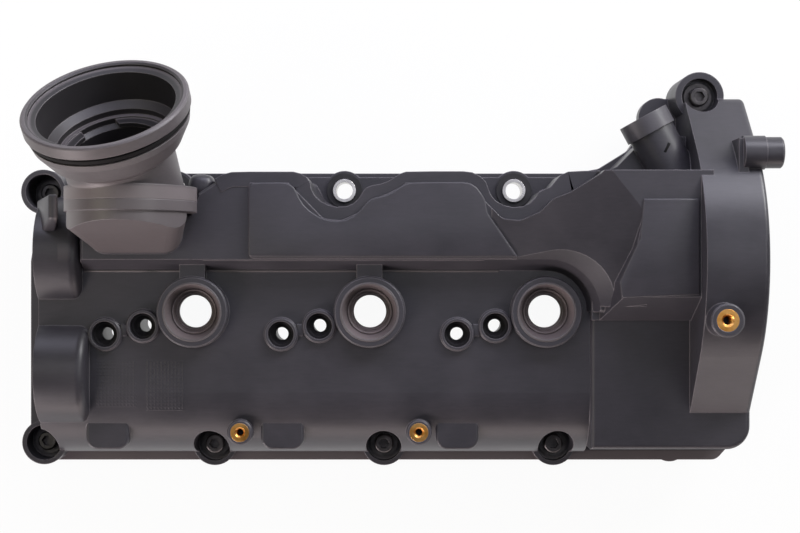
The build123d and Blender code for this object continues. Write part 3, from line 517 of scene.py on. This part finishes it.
def bar(name, low, high, rounding, material, top_shift=(0, 0), top_share=1.0):
    """A block between two corners. Its top may be moved and narrowed, and all its edges are rounded."""
    deselect()
    centre = (Vector(low) + Vector(high)) / 2 * MM
    bpy.ops.mesh.primitive_cube_add(size=1, location=centre)
    bpy.context.object.scale = (Vector(high) - Vector(low)) * MM
    bpy.ops.object.transform_apply(location=True, rotation=True, scale=True)
    for corner in bpy.context.object.data.vertices:
        if corner.co.z > centre.z:
            corner.co.x = centre.x + (corner.co.x - centre.x) * top_share + top_shift[0] * MM
            corner.co.y = centre.y + (corner.co.y - centre.y) * top_share + top_shift[1] * MM
    bpy.ops.object.mode_set(mode="EDIT")
    bpy.ops.mesh.select_all(action="SELECT")
    bpy.ops.mesh.bevel(offset=rounding * MM, segments=3, affect="EDGES")
    bpy.ops.object.mode_set(mode="OBJECT")
    return keep(name, material)


# The bead is painted paler, a painted highlight line along the box's foot.
bar("box_foot_bead", (-146.0, 20.2, 44.2), (66.0, 21.4, 45.8), 0.4, pale_lit_nylon)
for number, x in enumerate(WELLS, start=1):
    bar(f"tube_web_{number}", (x - 37.4, -12.6, SUNK_FOOT), (x - 33.8, -6.2, SUNK_FOOT + 2.4), 0.5, cover_nylon)
bar("tube_web_left", (-146.5, -14.6, SUNK_FOOT), (-143.2, -8.6, SUNK_FOOT + 2.4), 0.5, cover_nylon)
bar("neck_brace", (-170.5, 35.0, SUNK_FOOT), (-162.0, 57.0, 67.0), 1.2, cover_nylon,
    top_shift=(9.5, 7.0), top_share=0.55)
bar("neck_shelf", (-92.0, 58.0, 36.0), (-79.0, 70.0, 54.0), 4.5, cover_nylon)

# %% [markdown]
# ## Back rim of the upper box
# The upper box draws in round the two back eyelets in soft curves, which the eye follows all along the cover. Its wall
# there is a band that starts as a grid: one row along the foot, two along the rim and one back down inside the wall.
# The rows are moved to their places, the first and the last are bridged, and the ends are closed. The raised panel on
# top follows the same curves a little further in. Its outline is a circle whose corners are moved, then extruded, and
# the right box has such a panel too. The vent port's slanted slot for its clip is a thin black block, painted shade.

# %% The rim's line
RIM = [(-78.2, 67.2), (-73.9, 69.5), (-69.3, 70.7), (-60.1, 70.9), (-38.3, 70.9), (-34.6, 70.0), (-31.5, 68.2),
       (-29.9, 65.5), (-29.2, 62.2), (-27.5, 58.8), (-24.5, 56.1), (-20.8, 54.1), (-16.4, 53.1), (-11.7, 53.4),
       (-8.0, 54.9), (-5.2, 57.5), (-3.5, 60.5), (-1.6, 62.8), (1.4, 64.0), (5.4, 64.7), (9.1, 65.9), (12.5, 67.9),
       (15.5, 69.9), (18.5, 70.9), (32.3, 71.1), (47.4, 71.1), (51.8, 70.6), (55.8, 68.7), (58.8, 65.9),
       (60.0, 62.5), (61.2, 59.1), (63.9, 56.1), (67.9, 53.9), (72.6, 52.9), (77.3, 53.4), (81.0, 55.1),
       (83.7, 57.8), (85.4, 60.5), (88.1, 62.0), (91.4, 63.2), (93.8, 66.2), (96.5, 69.2), (100.2, 70.9),
       (107.9, 71.3), (116.3, 71.5)]
RIM_FOOT = 19.8
RIM_TOP = 56.3
RIM_WIDTH = 7.6              # at the top
FOOT_WIDTH = 1.6             # at the foot
RAMP_SIDE = 87.0             # where along X the ramp begins
RAMP_RIM_WIDTH = 12.5        # at the top beside the ramp


def inwards(points, distance, distance_by_ramp):
    """A line of points moved to its right-hand side, which is the inside of the box, and further beside the ramp."""
    moved = []
    for index, point in enumerate(points):
        before = Vector(points[max(index - 1, 0)])
        after = Vector(points[min(index + 1, len(points) - 1)])
        way = (after - before).normalized()
        step = distance if point[0] < RAMP_SIDE else distance_by_ramp
        moved.append((point[0] + way.y * step, point[1] - way.x * step))
    return moved


rows = [[(x, y, RIM_FOOT) for x, y in RIM], [(x, y, RIM_TOP) for x, y in RIM],
        [(x, y, RIM_TOP) for x, y in inwards(RIM, RIM_WIDTH, RAMP_RIM_WIDTH)],
        [(x, y, RIM_FOOT) for x, y in inwards(RIM, FOOT_WIDTH, FOOT_WIDTH)]]
print("rim:", len(RIM), "points in", len(rows), "rows")

# %% Rim band
deselect()
bpy.ops.mesh.primitive_grid_add(x_subdivisions=len(RIM) - 1, y_subdivisions=3, size=100 * MM)
band = bpy.context.object
set_corners([point for row in rows for point in row])
bpy.ops.object.mode_set(mode="EDIT")
bpy.ops.mesh.select_all(action="DESELECT")
bpy.ops.object.mode_set(mode="OBJECT")
for edge in band.data.edges:
    first, second = sorted(edge.vertices)
    edge.select = second - first == 1 and (second < len(RIM) or first >= 3 * len(RIM))
bpy.ops.object.mode_set(mode="EDIT")
bpy.ops.mesh.select_mode(type="EDGE")
bpy.ops.mesh.bridge_edge_loops()
bpy.ops.mesh.select_mode(type="VERT")
bpy.ops.mesh.select_all(action="SELECT")
bpy.ops.mesh.fill_holes(sides=4)
bpy.ops.mesh.select_all(action="SELECT")
bpy.ops.mesh.normals_make_consistent(inside=False)
bpy.ops.object.mode_set(mode="OBJECT")
keep("box_rim_band", cover_nylon, 40)

# %% Raised panels
SEPARATOR_PANEL = [(-59.9, 28.0), (-60.7, 29.2), (-60.7, 62.4), (-59.9, 64.0), (-57.8, 65.0), (-54.8, 65.4),
                   (-43.1, 65.4), (-40.1, 64.7), (-37.8, 63.0), (-36.4, 60.7), (-35.2, 57.7), (-33.1, 54.3),
                   (-29.7, 51.0), (-25.5, 48.3), (-21.0, 46.6), (-16.3, 46.0), (-11.6, 46.6), (-7.6, 48.6),
                   (-4.3, 51.7), (-1.6, 55.0), (1.1, 57.2), (4.4, 58.2), (8.1, 58.9), (11.5, 60.4), (14.8, 62.7),
                   (17.8, 64.5), (21.2, 65.4), (32.2, 65.6), (47.3, 65.6), (51.0, 64.9), (54.0, 63.0), (56.4, 60.0),
                   (58.3, 56.8), (59.6, 50.0), (73.8, 28.6), (72.9, 28.0)]
RIGHT_BOX_PANEL = [(134.8, 56.5), (162.6, 56.5), (162.6, 9.1), (124.2, 7.6), (123.0, 15.7), (133.1, 36.9)]


def plate(name, outline, low, high, rounding, material):
    """A flat plate with a free outline and a rounded rim."""
    deselect()
    bpy.ops.mesh.primitive_circle_add(vertices=len(outline), radius=20 * MM, fill_type="NGON")
    set_corners([(x, y, low) for x, y in outline])
    bpy.ops.object.mode_set(mode="EDIT")
    bpy.ops.mesh.select_all(action="SELECT")
    bpy.ops.mesh.extrude_region_move(TRANSFORM_OT_translate={"value": (0, 0, (high - low) * MM)})
    bpy.ops.mesh.select_all(action="SELECT")
    bpy.ops.mesh.normals_make_consistent(inside=False)
    bpy.ops.object.mode_set(mode="OBJECT")
    bpy.ops.object.modifier_add(type="BEVEL")
    bevel = bpy.context.object.modifiers[-1]
    bevel.width = rounding * MM
    bevel.segments = 3
    bevel.limit_method = "ANGLE"
    bevel.angle_limit = math.radians(50)
    bpy.ops.object.modifier_apply(modifier=bevel.name)
    return keep(name, material)


plate("separator_panel", SEPARATOR_PANEL, low=57.0, high=58.8, rounding=0.7, material=cover_nylon)
plate("right_box_panel", RIGHT_BOX_PANEL, low=75.4, high=77.0, rounding=1.0, material=cover_nylon)

# %% Slot on the vent port, a block of painted shade
PORT_ROOT = Vector((156.8, 70.0, 40.0))
PORT_TURN = math.radians(28.5)
SLOT_ALONG = 14.5            # from the root, along the port
SLOT_OFFSET = Vector((1.0, 0.6, 11.75))
SLOT_TURN = math.radians(-27)
SLOT_SIZE = (1.5 * MM, 5.4 * MM, 0.6 * MM)
port_way = Vector((-math.sin(PORT_TURN), math.cos(PORT_TURN), 0))
slot_centre = PORT_ROOT + port_way * SLOT_ALONG + SLOT_OFFSET
deselect()
# Painted shade: the slot is not cut; a thin near-black block on the port stands for its shaded hollow.
bpy.ops.mesh.primitive_cube_add(size=1, location=slot_centre * MM, rotation=(0, 0, SLOT_TURN))
bpy.context.object.scale = SLOT_SIZE
bpy.ops.object.transform_apply(location=True, rotation=True, scale=True)
bpy.ops.object.mode_set(mode="EDIT")
bpy.ops.mesh.select_all(action="SELECT")
bpy.ops.mesh.bevel(offset=0.28 * MM, segments=3, affect="EDGES")
bpy.ops.object.mode_set(mode="OBJECT")
keep("port_slot_painted_shade", o_ring_rubber)

# %% [markdown]
# ## The studio
# A plain pale floor lies under the bolts' tips, on which the cover rests. A dark satin moulding shows its form best in
# light that grazes it. So the strongest soft boxes stand low: one in front, one at the front left and one at the back
# right. A small one stands close behind and lifts the level faces there, and weak high ones fill in the rest.
# The front light is a little warm and the back light a little cool. The floor is white to the camera and to
# reflections, and keeps a faint shadow.

# %% Floor
WHITE_SHARE = 0.94           # the rest of the floor shows its shadow
lowest = cad_box[0][2]
deselect()
bpy.ops.mesh.primitive_plane_add(size=6.0, location=(0, 0, lowest))
floor = bpy.context.object
floor.name = "floor"
bpy.ops.object.transform_apply(location=True, rotation=True, scale=True)
floor_material, tree, output = new_material("studio_floor")
rays = add_node(tree, "ShaderNodeLightPath")
seen = add_node(tree, "ShaderNodeMath", {0: rays.outputs["Is Camera Ray"], 1: rays.outputs["Is Glossy Ray"]},
                operation="ADD")
seen = add_node(tree, "ShaderNodeMath", {0: seen.outputs["Value"], 1: rays.outputs["Is Transmission Ray"]},
                operation="ADD", use_clamp=True)
share = add_node(tree, "ShaderNodeMath", {0: seen.outputs["Value"], 1: WHITE_SHARE}, operation="MULTIPLY")
paper = add_node(tree, "ShaderNodeBsdfDiffuse", {"Color": colour("#f2f2f2")})
glow = add_node(tree, "ShaderNodeEmission", {"Color": (1, 1, 1, 1), "Strength": 1.0})
mixed = add_node(tree, "ShaderNodeMixShader",
                 {0: share.outputs["Value"], 1: paper.outputs["BSDF"], 2: glow.outputs["Emission"]})
tree.links.new(mixed.outputs["Shader"], output.inputs["Surface"])
floor.data.materials.append(floor_material)
print("floor at", round(lowest / MM, 1), "mm")

# %% World
FILL_STRENGTH = 0.03
world = bpy.data.worlds.new("studio")
bpy.context.scene.world = world
world.use_nodes = True
tree = world.node_tree
tree.nodes.clear()
rays = add_node(tree, "ShaderNodeLightPath")
soft = add_node(tree, "ShaderNodeBackground", {"Color": (1, 1, 1, 1), "Strength": FILL_STRENGTH})
white = add_node(tree, "ShaderNodeBackground", {"Color": (1, 1, 1, 1), "Strength": 1.0})
mixed = add_node(tree, "ShaderNodeMixShader",
                 {0: rays.outputs["Is Camera Ray"], 1: soft.outputs["Background"], 2: white.outputs["Background"]})
add_node(tree, "ShaderNodeOutputWorld", {"Surface": mixed.outputs["Shader"]})
print("world:", world.name, "fill", FILL_STRENGTH)


# %% Lamps
def soft_box(name, place, size, power, tint="#ffffff", aim=(0, 0, 0.04)):
    """A rectangular lamp aimed at a point of the cover. Place and size are in metres, power in watts."""
    data = bpy.data.lights.new(name, "AREA")
    data.shape = "RECTANGLE"
    data.size, data.size_y = size
    data.energy = power
    data.color = colour(tint)[:3]
    lamp = bpy.data.objects.new(name, data)
    lamp.location = place
    lamp.rotation_euler = (Vector(aim) - Vector(place)).to_track_quat("-Z", "Y").to_euler()
    bpy.context.scene.collection.objects.link(lamp)
    print(name, power, "W")


soft_box("front_low", (0.1, -1.1, 0.22), (1.6, 0.3), 5.4, "#ffeeeb")
soft_box("front_left_low", (-0.8, -0.8, 0.45), (0.5, 0.4), 9.2, "#fff2f3")
soft_box("back_right_low", (0.8, 0.8, 0.45), (0.5, 0.4), 11.0)
soft_box("back_near", (0.0, 0.5, 0.35), (0.8, 0.25), 2.8, "#ecebff")
soft_box("back_high", (0.0, 0.2, 1.2), (1.2, 0.3), 1.5, "#f2f3ff")
soft_box("left_high", (-0.85, 0.1, 0.9), (0.7, 0.6), 2.2, "#fffadd")
soft_box("right_high", (0.85, 0.1, 0.9), (0.7, 0.6), 1.9)
bpy.context.scene.view_settings.view_transform = "Standard"
